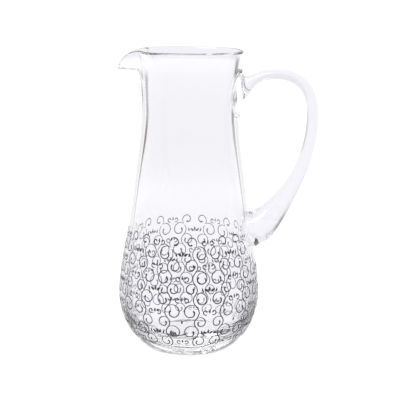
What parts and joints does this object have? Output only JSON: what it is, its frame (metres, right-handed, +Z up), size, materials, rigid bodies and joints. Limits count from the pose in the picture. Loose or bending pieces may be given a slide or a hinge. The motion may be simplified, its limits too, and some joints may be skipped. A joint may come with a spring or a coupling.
{
  "type": "pitcher",
  "caption": "Tall glass jug with a heavy rounded base, narrow neck, pulled pouring spout, applied loop handle and a printed vine band round the bowl.",
  "frame": {"origin": "centre of the round foot, on the surface the jug stands on", "axes": "+Z up, +X towards the handle, -X towards the spout, Y across"},
  "size_m": [0.176, 0.1244, 0.2647],
  "materials": {
    "clear_glass": "clear, fire-polished, smooth",
    "enamel": "opaque dark grey fired enamel, satin"
  },
  "bodies": {
    "root": {"body": "clear_glass", "handle": "clear_glass", "print_panel_1": "enamel", "print_panel_2": "enamel", "print_panel_3": "enamel", "print_panel_4": "enamel", "print_panel_5": "enamel", "print_panel_6": "enamel", "print_panel_7": "enamel", "print_panel_8": "enamel"}
  },
  "joints": []
}
